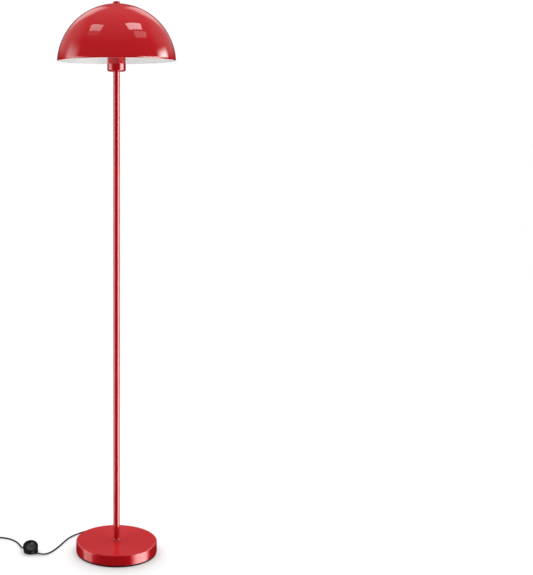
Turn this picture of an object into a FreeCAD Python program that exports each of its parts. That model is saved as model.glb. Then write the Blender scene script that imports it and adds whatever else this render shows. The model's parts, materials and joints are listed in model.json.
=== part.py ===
import FreeCAD, Part
import math
import os

# A red mushroom floor lamp, in millimetres. +Z is up, the front is -Y, and the origin is the middle of
# the foot's underside on the floor. Each size below is set once; everything else is worked out from them.

os.makedirs("parts", exist_ok=True)
V = FreeCAD.Vector

# ---- foot -------------------------------------------------------------------------------------------
base_diameter = 205.0
base_cover_height = 26.5       # steel cover, from the top of the pad to its top face
base_sheet = 1.2
base_edge_radius = 3.0         # rolled top edge of the cover
pad_thickness = 4.0
pad_inset = 1.0                # the pad stops this far inside the cover's edge
weight_gap = 0.8               # cast weight to the inside of the cover's wall
weight_recess_radius = 19.0    # room for the washer and nut under the weight
weight_recess_depth = 17.0
cable_slot_width = 13.0
cable_slot_depth = 13.5
outlet_height = 11.0           # axis of the cord outlet in the cover's wall, above the floor
grommet_neck_radius = 4.4      # where the grommet passes the cover's wall
grommet_flange_radius = 6.0
grommet_flange_thickness = 1.6
grommet_root_radius = 5.4
grommet_tip_radius = 2.9
grommet_length = 24.0          # tapered sleeve outside the wall

# ---- pole -------------------------------------------------------------------------------------------
pole_diameter = 16.0
pole_wall = 1.2
pole_length = 1174.5
pole_sections = 3
coupler_length = 36.0
coupler_bore_radius = 4.0
end_plug_length = 15.0
collar_radius = 11.8           # the flared ring that hides the joint of pole and foot
collar_top_radius = 8.8
collar_height = 6.0

# ---- M10 x 1 threaded tubes and their nuts, M6 stud and nut ------------------------------------------
nipple_radius = 5.0
nipple_bore_radius = 3.6
nipple_grip = 12.0             # how far a threaded tube screws into a plug of the pole
nipple_spare = 0.8             # thread that stands out of the nut under the foot
pipe_nut_width = 14.0
pipe_nut_thickness = 4.5
pipe_washer_radius = 12.0
pipe_washer_thickness = 1.2
cup_nut_thickness = 4.0
stud_radius = 3.0
stud_nut_width = 10.0
stud_nut_thickness = 3.0
stud_length = 11.4

# ---- socket cup and lampholder (E27) ------------------------------------------------------------------
cup_diameter = 44.6
cup_height = 46.0
cup_wall = 1.2
cup_corner_radius = 4.0
holder_lift = 1.0              # nut in the cup to the lampholder's underside
holder_radius = 19.9
holder_wall = 2.0
holder_cap_height = 17.0
holder_shell_height = 36.0
holder_floor = 2.5
core_wall = 2.9
core_floor = 7.0
thread_shell_radius = 13.95    # outside of the holder's threaded sleeve, at a crest
thread_sheet = 0.35
thread_wave = 0.55             # crest to middle of the rolled thread
thread_pitch = 3.6
thread_turns = 5
thread_start = 0.9             # plain metal below the first turn
bulb_thread_gap = 0.35         # sleeve of the holder to the bulb's cap
holder_ring_radius = 25.0
holder_ring_thickness = 4.5
holder_ring_gap = 0.5          # top of the cup to the lower ring
terminal_offset = 7.5
terminal_block = 5.0
lead_radius = 0.9

# ---- bulb (A55) ----------------------------------------------------------------------------------------
bulb_length = 98.0
bulb_radius = 27.5
bulb_glass = 1.2
bulb_neck_radius = 14.4
bulb_seam_radius = 22.5        # where the diffuser meets the housing
bulb_housing_wall = 1.6
bulb_cap_length = 26.0         # from the centre contact to the neck
bulb_cap_sheet = 0.35
bulb_contact_radius = 4.5
bulb_contact_height = 1.2
bulb_insulator_height = 3.0
led_board_thickness = 1.6
led_board_gap = 0.8

# ---- shade and what carries it ---------------------------------------------------------------------------
shade_diameter = 286.5
shade_height = 135.0
shade_sheet = 1.2
shade_hole_radius = 3.4
shade_drop = 25.3              # underside of the cup to the plane of the shade's rim
carrier_width = 14.0
carrier_sheet = 1.5
carrier_reach = 40.0           # middle of each upright, from the axis
carrier_foot_bend = 8.0
carrier_top_bend = 30.0
carrier_ring_radius = 27.0
shade_washer_radius = 8.0
shade_washer_thickness = 1.0
cap_nut_radius = 8.6
cap_nut_height = 4.7
cap_nut_roof = 1.2
cap_nut_edge = 2.6

# ---- foot switch on the cord ------------------------------------------------------------------------------
switch_x = -218.0
switch_y = -9.0
switch_radius = 19.25
switch_axis = 140.0            # degrees; the cord comes in on one side and leaves on the other
switch_tilt = 28.0             # the face leans towards the front
switch_lean = -92.0            # degrees; the way it leans
switch_face_height = 14.5      # middle of the parting plane above the floor
switch_lid_height = 5.6
switch_lid_edge = 2.2
switch_body_inset = 1.0
switch_wall = 1.8
switch_boot_radius = 3.0
switch_boot_length = 1.8
switch_boot_grip = 2.5         # the boot reaches this far inside the wall
lid_dish = 0.7                 # the face lies this far below the lid's rim
frame_level = -4.4             # underside of the contact frame, from the parting plane
frame_thickness = 1.6
contact_radius = 1.1
contact_spread = 6.4           # each contact, from the button's axis
contact_plate_radius = 2.4
contact_plate_thickness = 0.4
switch_lead_radius = 0.8
button_radius = 4.4
button_x = 4.2                 # on the face, to the right
button_y = 5.0                 # on the face, uphill
button_height = 2.6            # stands this far out of the face
button_travel = 2.0
button_collar_radius = 6.6
button_collar_height = 0.8
button_flange_radius = 5.8
button_flange_thickness = 1.2
spring_wire = 0.35
spring_radius = 2.6
spring_turns = 4.0
switch_screw_radius = 1.3
switch_screw_offset = 13.0
switch_screw_length = 9.0

# ---- cord and plug -------------------------------------------------------------------------------------------
cord_diameter = 3.6
cable_entry_bend = 7.0         # the cable turns up into the threaded tube
boot_entry_height = 4.6        # axis of the cord at the switch
coil_x = -343.0
coil_y = 60.4
coil_inner_radius = 14.5       # middle of the innermost turn
coil_turn_pitch = 4.7
coil_layer_pitch = 4.2
coil_quarters = (9, 9, 9, 8)   # quarter turns spent spiralling in each layer
coil_lift = 0.95               # the tie passes under the coil
tie_width = 7.0
tie_thickness = 0.7
tie_azimuth = 315.0
plug_length = 36.0
plug_width = 33.0
plug_thickness = 13.6
plug_tail_length = 12.0
plug_tail_radius = 3.3
pin_radius = 2.0
pin_length = 19.0
pin_spacing = 18.6
pin_root_radius = 1.5          # where it is moulded into the plug
pin_root_length = 12.0
pin_tip = 1.2

# ---- clearances ------------------------------------------------------------------------------------------------
fit = 0.05                     # between pieces that slide or screw together
body_gap = 0.3                 # between pieces that move past each other

# ---- levels and radii that follow ---------------------------------------------------------------------------
base_radius = base_diameter / 2
base_top = pad_thickness + base_cover_height
base_roof = base_top - base_sheet
cover_inside = base_radius - base_sheet
weight_radius = cover_inside - weight_gap
recess_roof = pad_thickness + weight_recess_depth
pole_radius = pole_diameter / 2
pole_bore = pole_radius - pole_wall
pole_top = base_top + pole_length
cup_radius = cup_diameter / 2
cup_floor = pole_top + cup_wall
cup_rim = pole_top + cup_height
holder_bottom = cup_floor + cup_nut_thickness + holder_lift
holder_seam = holder_bottom + holder_cap_height
holder_top = holder_seam + holder_shell_height
holder_bore = holder_radius - holder_wall
core_radius = holder_bore - fit
core_bottom = holder_seam + 1.0
core_shelf = core_bottom + core_floor
contact_level = holder_top - bulb_cap_length
carrier_level = cup_rim + holder_ring_gap + holder_ring_thickness
rim_level = pole_top + shade_drop
shade_rim_radius = shade_diameter / 2
shade_sphere = (shade_rim_radius ** 2 + shade_height ** 2) / (2 * shade_height)
shade_centre = rim_level + shade_height - shade_sphere
cord_radius = cord_diameter / 2
cord_floor = cord_radius       # height of the cord's axis where it lies on the floor
cable_bore = cord_radius + fit


# ---- small makers ---------------------------------------------------------------------------------------------
def rod(radius, z0, z1, x=0.0, y=0.0):
    return Part.makeCylinder(radius, z1 - z0, V(x, y, z0))


def pipe(outer, inner, z0, z1, x=0.0, y=0.0):
    return rod(outer, z0, z1, x, y).cut(rod(inner, z0 - 1, z1 + 1, x, y))


def hexagon(width, z0, z1, bore):
    corner = width / math.sqrt(3)
    angles = [math.radians(60 * i) for i in range(6)]
    points = [V(corner * math.cos(a), corner * math.sin(a), z0) for a in angles]
    blank = Part.Face(Part.makePolygon(points + points[:1])).extrude(V(0, 0, z1 - z0))
    return blank.cut(rod(bore, z0 - 1, z1 + 1))


def turned(steps):
    """Turns a closed outline (radius, height) about Z. A step is a point, or (middle, end) for an arc."""
    start = at = V(steps[0][0], 0, steps[0][1])
    edges = []
    for step in steps[1:]:
        if isinstance(step[0], tuple):
            middle, end = (V(p[0], 0, p[1]) for p in step)
            edges.append(Part.Arc(at, middle, end).toShape())
        else:
            end = V(step[0], 0, step[1])
            edges.append(Part.LineSegment(at, end).toShape())
        at = end
    if at.distanceToPoint(start) > 1e-6:
        edges.append(Part.LineSegment(at, start).toShape())
    face = Part.Face(Part.Wire(edges))
    return face.revolve(V(0, 0, 0), V(0, 0, 1), 360)


def corner_arc(x, z, radius, quadrant):
    """Middle of a quarter circle about (x, z), in degrees from +X."""
    angle = math.radians(quadrant)
    return (x + radius * math.cos(angle), z + radius * math.sin(angle))


def rounded_box(wide, tall, radius, y):
    """Closed outline in a plane square to Y, with four straight sides and four round corners."""
    a, b, c = wide / 2, tall / 2, radius * (1 - math.sqrt(0.5))
    corners = [(1, 1), (-1, 1), (-1, -1), (1, -1)]
    edges = []
    last = None
    for sx, sz in corners:
        near_x = V(sx * a, y, sz * (b - radius))
        near_z = V(sx * (a - radius), y, sz * b)
        first, second = (near_x, near_z) if sx * sz > 0 else (near_z, near_x)
        if last is not None:
            edges.append(Part.LineSegment(last, first).toShape())
        edges.append(Part.Arc(first, V(sx * (a - c), y, sz * (b - c)), second).toShape())
        last = second
    edges.append(Part.LineSegment(last, edges[0].Vertexes[0].Point).toShape())
    return Part.Wire(edges)


def swept(wire, radius):
    """A round tube along a wire whose first edge is straight."""
    first = wire.Edges[0]
    start = first.Vertexes[0].Point
    heading = first.tangentAt(first.FirstParameter)
    section = Part.Wire(Part.makeCircle(radius, start, heading))
    return Part.Wire(wire.Edges).makePipeShell([section], True, False)


def bent_path(points, label, radii=None):
    """Straight runs joined by tangent arcs. Each arc is as large as its two runs allow."""
    points = [V(*p) for p in points]
    edges = []
    at = points[0]
    used = []
    for i in range(1, len(points) - 1):
        before, corner, after = points[i - 1], points[i], points[i + 1]
        back = (before - corner).normalize()
        ahead = (after - corner).normalize()
        turn = math.pi - back.getAngle(ahead)
        shorter = min((before - corner).Length, (after - corner).Length)
        radius = 0.45 * shorter / math.tan(turn / 2)
        if radii:
            radius = radii[i - 1]
        cut = radius * math.tan(turn / 2)
        enter, leave = corner + back * cut, corner + ahead * cut
        bisector = (back + ahead).normalize()
        middle = corner + bisector * (radius / math.cos(turn / 2) - radius)
        edges.append(Part.LineSegment(at, enter).toShape())
        edges.append(Part.Arc(enter, middle, leave).toShape())
        at = leave
        used.append(round(radius, 1))
    edges.append(Part.LineSegment(at, points[-1]).toShape())
    wire = Part.Wire(edges)
    print(f"{label}: length {wire.Length:.1f}, radii {used}")
    return wire


def cord_along(points, label, radius=cord_radius, radii=None):
    wire = bent_path(points, label, radii)
    tube = swept(wire, radius)
    share = tube.Volume / (math.pi * radius ** 2 * wire.Length)
    print(f"{label}: volume over section times length {share:.4f}")
    return tube


def arc_between(a, corner, b):
    """The arc that leaves a towards the corner and reaches b from it; both are equally far from it."""
    middle = (a + b) * 0.5
    half = (b - a).Length / 2
    away = corner - middle
    lift = half * math.tan(math.atan2(away.Length, half) / 2)
    return Part.Arc(a, middle + away.normalize() * lift, b).toShape()


def biarc(a, heading_a, b, heading_b):
    gap = b - a
    both = heading_a + heading_b
    k = 2 * (1 - heading_a.dot(heading_b))
    reach = (-gap.dot(both) + math.sqrt(gap.dot(both) ** 2 + k * gap.dot(gap))) / k
    corner_a, corner_b = a + heading_a * reach, b - heading_b * reach
    joint = (corner_a + corner_b) * 0.5
    return [arc_between(a, corner_a, joint), arc_between(joint, corner_b, b)]


def wound_path(places, lead):
    """Pairs of arcs through places (point, heading), with a straight lead at each end."""
    first, heading = places[0]
    edges = [Part.LineSegment(first - heading * lead, first).toShape()]
    for (a, heading_a), (b, heading_b) in zip(places, places[1:]):
        edges += biarc(a, heading_a, b, heading_b)
    last, heading = places[-1]
    edges.append(Part.LineSegment(last, last + heading * lead).toShape())
    return Part.Wire(edges)


def save(name, *shapes):
    shape = shapes[0] if len(shapes) == 1 else Part.makeCompound(list(shapes))
    solids = shape.Solids
    good = all(s.isValid() and s.Volume > 0 for s in solids)
    if len(solids) == 1:
        shape = solids[0]
    shape.exportStep(f"parts/{name}.step")
    print(f"{name}: {len(solids)} solid(s), {shape.Volume / 1000:.2f} cm3{'' if good and solids else '  NOT GOOD'}")


# ---- foot -------------------------------------------------------------------------------------------------------
def along_y(shape, y, z):
    """Lays a piece turned about Z down along +Y, with its start at (0, y, z)."""
    shape = shape.copy()
    shape.rotate(V(0, 0, 0), V(1, 0, 0), -90)
    shape.translate(V(0, y, z))
    return shape


def make_base_cover():
    e, ei = base_edge_radius, max(base_edge_radius - base_sheet, 0.4)
    r, ri = base_radius, cover_inside
    bottom = pad_thickness + 0.2
    hole = nipple_radius + 4 * fit
    shell = turned([
        (hole, base_top),
        (r - e, base_top),
        (corner_arc(r - e, base_top - e, e, 45), (r, base_top - e)),
        (r, bottom),
        (ri, bottom),
        (ri, base_roof - ei),
        (corner_arc(ri - ei, base_roof - ei, ei, 45), (ri - ei, base_roof)),
        (hole, base_roof),
    ])
    outlet = along_y(rod(grommet_neck_radius + fit, 0, 3 * base_sheet + weight_gap), ri - base_sheet, outlet_height)
    return shell.cut(outlet)


def make_base_weight():
    edge = base_edge_radius
    body = turned([
        (nipple_radius + 4 * fit, base_roof),
        (weight_radius - edge, base_roof),
        (weight_radius, base_roof - edge),
        (weight_radius, pad_thickness),
        (weight_recess_radius, pad_thickness),
        (weight_recess_radius, recess_roof),
        (nipple_radius + 4 * fit, recess_roof),
    ])
    slot = Part.makeBox(cable_slot_width, base_radius, cable_slot_depth, V(-cable_slot_width / 2, 0, pad_thickness))
    inner = rod(weight_recess_radius - 1, pad_thickness - 1, recess_roof + 1)
    return body.cut(slot.cut(inner))


def make_base_pad():
    return pipe(base_radius - pad_inset, weight_recess_radius + 1, 0, pad_thickness)


nut_top = recess_roof - pipe_washer_thickness
base_nipple_bottom = nut_top - pipe_nut_thickness - nipple_spare

save("base_cover", make_base_cover())
save("base_weight", make_base_weight())
save("base_pad", make_base_pad())
save("base_nipple", pipe(nipple_radius, nipple_bore_radius, base_nipple_bottom, base_top + nipple_grip))
save("base_washer", pipe(pipe_washer_radius, nipple_radius + 2 * fit, nut_top, recess_roof))
save("base_nut", hexagon(pipe_nut_width, nut_top - pipe_nut_thickness, nut_top, nipple_radius + fit))


# The grommet holds the cord in the cover's wall: a flange inside, and a tapered sleeve outside.
def make_cord_grommet():
    curve = cover_inside - math.sqrt(cover_inside ** 2 - grommet_flange_radius ** 2)
    flange_front = -base_sheet - curve - fit
    flange_back = flange_front - grommet_flange_thickness
    sleeve = turned([
        (cable_bore, flange_back),
        (grommet_flange_radius, flange_back),
        (grommet_flange_radius, flange_front),
        (grommet_neck_radius, flange_front),
        (grommet_neck_radius, 0.4),
        (grommet_root_radius, 0.4),
        (grommet_root_radius, 2.4),
        (grommet_tip_radius, grommet_length),
        (cable_bore, grommet_length),
    ])
    return along_y(sleeve, base_radius, outlet_height)


outlet_tip = base_radius + grommet_length
save("cord_grommet", make_cord_grommet())


# ---- pole -------------------------------------------------------------------------------------------------------
section_length = pole_length / pole_sections
section_names = ["pole_lower", "pole_middle", "pole_upper"]
coupler_names = ["pole_coupler_lower", "pole_coupler_upper"]

for index, name in enumerate(section_names):
    start = base_top + index * section_length
    save(name, pipe(pole_radius, pole_bore, start, start + section_length))

for index, name in enumerate(coupler_names):
    seam = base_top + (index + 1) * section_length
    half = coupler_length / 2
    save(name, pipe(pole_bore - fit, coupler_bore_radius, seam - half, seam + half))

plug_bore = nipple_radius + fit
save("pole_foot_plug", pipe(pole_bore - fit, plug_bore, base_top, base_top + end_plug_length))
save("pole_head_plug", pipe(pole_bore - fit, plug_bore, pole_top - end_plug_length, pole_top))


def make_foot_collar():
    foot, neck = collar_radius, collar_top_radius
    waist = (neck + 0.32 * (foot - neck), base_top + 0.45 * collar_height)
    return turned([
        (pole_radius + fit, base_top),
        (foot, base_top),
        (foot, base_top + 0.8),
        (waist, (neck, base_top + collar_height)),
        (pole_radius + fit, base_top + collar_height),
    ])


save("pole_collar", make_foot_collar())


# ---- socket cup and lampholder ------------------------------------------------------------------------------
def make_socket_cup():
    c, ci = cup_corner_radius, max(cup_corner_radius - cup_wall, 0.4)
    r, ri = cup_radius, cup_radius - cup_wall
    hole = nipple_radius + 4 * fit
    lip = cup_wall / 2
    return turned([
        (hole, pole_top),
        (r - c, pole_top),
        (corner_arc(r - c, pole_top + c, c, -45), (r, pole_top + c)),
        (r, cup_rim - lip),
        ((r - lip, cup_rim), (ri, cup_rim - lip)),
        (ri, cup_floor + ci),
        (corner_arc(ri - ci, cup_floor + ci, ci, -45), (ri - ci, cup_floor)),
        (hole, cup_floor),
    ])


def make_holder_cap():
    r, ri = holder_radius - 0.2, holder_bore
    round_off = 3.0
    return turned([
        (nipple_radius + fit, holder_bottom),
        (r - round_off, holder_bottom),
        (corner_arc(r - round_off, holder_bottom + round_off, round_off, -45), (r, holder_bottom + round_off)),
        (r, holder_seam),
        (ri, holder_seam),
        (ri, holder_bottom + holder_floor),
        (nipple_radius + fit, holder_bottom + holder_floor),
    ])


def make_holder_core():
    """The insulating core: a floor for the contacts and a wall round the threaded sleeve."""
    wall_inside = core_radius - core_wall
    return turned([
        (0, core_bottom),
        (core_radius, core_bottom),
        (core_radius, holder_top - 1.5),
        (wall_inside, holder_top - 1.5),
        (wall_inside, core_shelf),
        (0, core_shelf),
    ])


def rolled_sleeve(outside, sheet, bottom, top):
    """A sleeve of thin metal with a rolled thread: arcs that swing in and out, one pair each pitch."""
    half = thread_pitch / 2
    wave = thread_wave
    middle = outside - wave
    outer = [(middle, bottom), (middle, bottom + thread_start)]
    level = bottom + thread_start
    for _ in range(thread_turns):
        for swing in (wave, -wave):
            outer.append(((middle + swing, level + half / 2), (middle, level + half)))
            level += half
    outer.append((middle, top))
    inner_radius = middle - sheet
    inner = [(inner_radius, top), (inner_radius, level)]
    for _ in range(thread_turns):
        for swing in (-wave, wave):
            inner.append(((inner_radius + swing, level - half / 2), (inner_radius, level - half)))
            level -= half
    inner.append((inner_radius, bottom))
    return turned(outer + inner)


sleeve_bottom = contact_level + bulb_insulator_height + bulb_contact_height
terminal_top = core_bottom
terminal_bottom = terminal_top - 6.0
cable_top = holder_bottom + holder_floor + 1.5


def make_centre_contact():
    """A bent strip on the core's floor whose free end rises under the bulb."""
    wide, thick, fold = 6.0, 0.5, 5.0
    low, high = core_shelf, contact_level - body_gap
    far = thread_shell_radius - 3.2
    outline = [
        (-far, low), (fold, low), (fold + thick, low + thick), (fold + thick, high - thick), (fold, high),
        (-3.5, high), (-3.5, high - thick), (fold - thick, high - thick), (fold - thick, low + thick),
        (-far, low + thick),
    ]
    corners = [V(x, -wide / 2, z) for x, z in outline]
    return Part.Face(Part.makePolygon(corners + corners[:1])).extrude(V(0, wide, 0))


def make_terminal(side):
    x = side * terminal_offset
    size = terminal_block
    block = Part.makeBox(size, size, terminal_top - terminal_bottom, V(x - size / 2, -size / 2, terminal_bottom))
    return block.cut(rod(lead_radius + fit, terminal_bottom - 1, terminal_bottom + 3, x, 0))


def make_lead(side):
    x = side * terminal_offset
    start_x = side * 1.0
    mid = (cable_top + terminal_bottom) / 2
    points = [(start_x, 0, cable_top), (start_x, 0, mid - 1.2), (x, 0, mid + 0.6), (x, 0, terminal_bottom + 3)]
    return cord_along(points, f"lead on side {side}", radius=lead_radius)


save("socket_cup", make_socket_cup())
save("cup_nut", hexagon(pipe_nut_width, cup_floor, cup_floor + cup_nut_thickness, nipple_radius + fit))
save("head_nipple", pipe(nipple_radius, nipple_bore_radius, pole_top - nipple_grip, holder_bottom + holder_floor))
save("lampholder_cap", make_holder_cap())
save("lampholder_shell", pipe(holder_radius, holder_bore, holder_seam, holder_top))
save("lampholder_core", make_holder_core())
save("lampholder_thread", rolled_sleeve(thread_shell_radius, thread_sheet, sleeve_bottom, holder_top - 2.0))
save("centre_contact", make_centre_contact())
save("lampholder_terminals", make_terminal(-1), make_terminal(1))
save("lampholder_leads", make_lead(-1), make_lead(1))


def make_holder_ring(bottom):
    return pipe(holder_ring_radius, holder_radius + fit, bottom, bottom + holder_ring_thickness)


save("lampholder_ring_lower", make_holder_ring(cup_rim + holder_ring_gap))
save("lampholder_ring_upper", make_holder_ring(carrier_level + carrier_sheet))


# ---- bulb ------------------------------------------------------------------------------------------------------
bulb_bottom = contact_level
neck_level = bulb_bottom + bulb_cap_length
globe_centre = bulb_bottom + bulb_length - bulb_radius
seam_level = globe_centre - math.sqrt(bulb_radius ** 2 - bulb_seam_radius ** 2)
cap_sleeve_radius = thread_shell_radius - thread_sheet - bulb_thread_gap
cap_bottom = bulb_bottom + bulb_contact_height + bulb_insulator_height


def make_bulb_globe():
    inside = bulb_radius - bulb_glass
    inner_seam = math.sqrt(inside ** 2 - (globe_centre - seam_level) ** 2)
    return turned([
        (bulb_seam_radius, seam_level),
        ((bulb_radius, globe_centre), (0, globe_centre + bulb_radius)),
        (0, globe_centre + inside),
        ((inside, globe_centre), (inner_seam, seam_level)),
    ])


def make_bulb_housing():
    wall = bulb_housing_wall
    top, bottom = seam_level, neck_level
    middle = (0.5 * (bulb_neck_radius + bulb_seam_radius) - 0.9, 0.5 * (top + bottom) + 0.8)
    return turned([
        (0, bottom),
        (bulb_neck_radius, bottom),
        (middle, (bulb_seam_radius, top)),
        (bulb_seam_radius - wall, top),
        ((middle[0] - wall, middle[1]), (bulb_neck_radius - wall, bottom + wall)),
        (0, bottom + wall),
    ])


def make_bulb_insulator():
    sleeve_inside = cap_sleeve_radius - thread_wave - bulb_cap_sheet
    return turned([
        (0, bulb_bottom + bulb_contact_height),
        (bulb_contact_radius, bulb_bottom + bulb_contact_height),
        (sleeve_inside, cap_bottom),
        (sleeve_inside, cap_bottom + 1.0),
        (0, cap_bottom + 1.0),
    ])


def make_bulb_contact():
    dome = (bulb_contact_radius * 0.7, bulb_bottom + 0.25 * bulb_contact_height)
    return turned([
        (0, bulb_bottom),
        (dome, (bulb_contact_radius, bulb_bottom + bulb_contact_height)),
        (0, bulb_bottom + bulb_contact_height),
    ])


save("bulb_globe", make_bulb_globe())
save("bulb_housing", make_bulb_housing())
board_radius = bulb_seam_radius - bulb_housing_wall - led_board_gap
save("bulb_led_board", rod(board_radius, seam_level - led_board_thickness, seam_level))
save("bulb_cap", rolled_sleeve(cap_sleeve_radius, bulb_cap_sheet, cap_bottom, neck_level))
save("bulb_insulator", make_bulb_insulator())
save("bulb_contact", make_bulb_contact())


# ---- shade and its carrier ---------------------------------------------------------------------------------
def shade_level(radius, skin=0.0):
    """Height of the shade's outer surface, or of the surface skin deep, at this distance from the axis."""
    return shade_centre + math.sqrt((shade_sphere - skin) ** 2 - radius ** 2)


def make_shade():
    t = shade_sheet
    slant = math.asin(0.7 * shade_rim_radius / shade_sphere)
    foot = rim_level
    inner_foot = math.sqrt((shade_sphere - t) ** 2 - (foot - shade_centre) ** 2)
    edge = (0.5 * (shade_rim_radius + inner_foot), foot - t / 2)
    outer_middle = (shade_sphere * math.sin(slant), shade_centre + shade_sphere * math.cos(slant))
    inner_middle = ((shade_sphere - t) * math.sin(slant), shade_centre + (shade_sphere - t) * math.cos(slant))
    return turned([
        (shade_rim_radius, foot),
        (outer_middle, (shade_hole_radius, shade_level(shade_hole_radius))),
        (shade_hole_radius, shade_level(shade_hole_radius, t)),
        (inner_middle, (inner_foot, foot)),
        (edge, (shade_rim_radius, foot)),
    ])


washer_top = shade_level(shade_washer_radius, shade_sheet)
carrier_top = washer_top - shade_washer_thickness
nut_seat = shade_level(shade_hole_radius) + body_gap


def make_carrier():
    """A strip bent into a U upside down, welded to the ring that the lampholder's two ring nuts clamp."""
    foot = carrier_level + carrier_sheet / 2
    top = carrier_top - carrier_sheet / 2
    reach, low, high = carrier_reach, carrier_foot_bend, carrier_top_bend
    start = carrier_ring_radius - 4

    def side(s):
        return [V(s * start, 0, foot), V(s * (reach - low), 0, foot), V(s * reach, 0, foot + low),
                V(s * reach, 0, top - high), V(s * (reach - high), 0, top)]

    def bend(a, b, centre_x, centre_z, radius, angle):
        middle = V(centre_x + radius * math.cos(math.radians(angle)), 0,
                   centre_z + radius * math.sin(math.radians(angle)))
        return Part.Arc(a, middle, b).toShape()

    right, left = side(1), side(-1)
    path = Part.Wire([
        Part.LineSegment(right[0], right[1]).toShape(),
        bend(right[1], right[2], reach - low, foot + low, low, -45),
        Part.LineSegment(right[2], right[3]).toShape(),
        bend(right[3], right[4], reach - high, top - high, high, 45),
        Part.LineSegment(right[4], left[4]).toShape(),
        bend(left[4], left[3], high - reach, top - high, high, 135),
        Part.LineSegment(left[3], left[2]).toShape(),
        bend(left[2], left[1], low - reach, foot + low, low, 225),
        Part.LineSegment(left[1], left[0]).toShape(),
    ])
    w, t = carrier_width / 2, carrier_sheet / 2
    section = [V(start, -w, foot - t), V(start, w, foot - t), V(start, w, foot + t), V(start, -w, foot + t)]
    strip = path.makePipeShell([Part.makePolygon(section + section[:1])], True, False)
    ring = pipe(carrier_ring_radius, holder_radius + fit, carrier_level, carrier_level + carrier_sheet)
    hole = rod(stud_radius + fit, carrier_top - 10, carrier_top + 1)
    return ring.fuse(strip).removeSplitter().cut(hole)


def make_cap_nut():
    r, h, e = cap_nut_radius, cap_nut_height, cap_nut_edge
    top = nut_seat + h
    return turned([
        (stud_radius + fit, nut_seat),
        (r - 0.4, nut_seat),
        (r, nut_seat + 0.4),
        (r, top - e),
        (corner_arc(r - e, top - e, e, 45), (r - e, top)),
        (0, top + 0.3),
        (0, top - cap_nut_roof),
        (stud_radius + fit, top - cap_nut_roof),
    ])


stud_top = nut_seat + cap_nut_height - cap_nut_roof - body_gap
stud_nut_top = carrier_top - carrier_sheet
save("shade", make_shade())
save("shade_carrier", make_carrier())
save("shade_washer", pipe(shade_washer_radius, stud_radius + 4 * fit, carrier_top, washer_top))
save("carrier_stud", rod(stud_radius, stud_top - stud_length, stud_top))
save("carrier_nut", hexagon(stud_nut_width, stud_nut_top - stud_nut_thickness, stud_nut_top, stud_radius + fit))
save("shade_cap_nut", make_cap_nut())


# ---- cable inside the foot and the pole ------------------------------------------------------------------------
def make_inner_cable():
    points = [(0, outlet_tip, outlet_height), (0, 0, outlet_height), (0, 0, cable_top)]
    return cord_along(points, "inner cable", radii=[cable_entry_bend])


save("inner_cable", make_inner_cable())


# ---- foot switch -------------------------------------------------------------------------------------------------
# The switch is drawn flat, with its parting plane at height 0 and uphill along +Y, and then leaned over.
switch_centre = V(switch_x, switch_y, switch_face_height)


def leaned(shape):
    shape = shape.copy()
    shape.rotate(V(0, 0, 0), V(1, 0, 0), switch_tilt)
    shape.rotate(V(0, 0, 0), V(0, 0, 1), switch_lean + 90)
    shape.translate(switch_centre)
    return shape


def slab(z0, z1):
    """Everything round the switch between two heights above the floor."""
    reach = 3 * switch_radius
    return Part.makeBox(2 * reach, 2 * reach, z1 - z0, V(switch_x - reach, switch_y - reach, z0))


def at_switch(turn, distance):
    angle = math.radians(turn)
    return (switch_x + distance * math.cos(angle), switch_y + distance * math.sin(angle), boot_entry_height)


def screw_place(side):
    return (switch_x + side * switch_screw_offset, switch_y + 3)


def cord_way(radius, from_middle, to_outside):
    """Rods along the cord's line through the switch, one on each side."""
    ways = []
    for turn in (switch_axis, switch_axis + 180):
        way = Part.makeCylinder(radius, to_outside - from_middle, V(from_middle, 0, 0), V(1, 0, 0))
        way.rotate(V(0, 0, 0), V(0, 0, 1), turn)
        way.translate(V(switch_x, switch_y, boot_entry_height))
        ways.append(way)
    return ways


lid_top = switch_lid_height
body_radius = switch_radius - switch_body_inset
cavity_radius = body_radius - switch_wall
boot_end = switch_radius + switch_boot_length


def make_switch_lid():
    r, e, wall = switch_radius, switch_lid_edge, switch_wall
    face = r - e - 1.6
    shell = turned([
        (0, lid_top - lid_dish),
        (face, lid_top - lid_dish),
        (face + lid_dish, lid_top),
        (r - e, lid_top),
        (corner_arc(r - e, lid_top - e, e, 45), (r, lid_top - e)),
        (r, 0),
        (r - wall, 0),
        (r - wall, lid_top - e),
        (r - wall - e, lid_top - lid_dish - wall),
        (0, lid_top - lid_dish - wall),
    ])
    collar = rod(button_collar_radius, lid_top - lid_dish - wall / 2, lid_top - lid_dish + button_collar_height,
                 button_x, button_y)
    hole = rod(button_radius + body_gap, -1, lid_top + 3, button_x, button_y)
    return leaned(shell.fuse(collar).removeSplitter().cut(hole))


def make_switch_body():
    drum = leaned(rod(body_radius, -3 * switch_face_height, 0)).common(slab(0, 3 * switch_face_height))
    cavity = leaned(rod(cavity_radius, -3 * switch_face_height, 1)).common(slab(switch_wall, 3 * switch_face_height))
    body = drum.cut(cavity)
    for way in cord_way(switch_boot_radius, cavity_radius - 5, 2 * switch_radius):
        body = body.cut(way)
    for side in (-1, 1):
        body = body.cut(rod(switch_screw_radius + fit, -1, switch_wall + 1, *screw_place(side)))
        body = body.cut(rod(2 * switch_screw_radius, -1, 0.6 * switch_wall, *screw_place(side)))
    return body


def make_switch_screw(side):
    head = rod(2 * switch_screw_radius - fit, 0.1 * switch_wall, 0.6 * switch_wall, *screw_place(side))
    shank = rod(switch_screw_radius, 0.6 * switch_wall, switch_screw_length, *screw_place(side))
    return head.fuse(shank).removeSplitter()


boot_start = cavity_radius - switch_boot_grip
button_flange_top = lid_top - lid_dish - switch_wall - body_gap
button_flange_bottom = button_flange_top - button_flange_thickness
button_top = lid_top - lid_dish + button_height
frame_top = frame_level + frame_thickness


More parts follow.
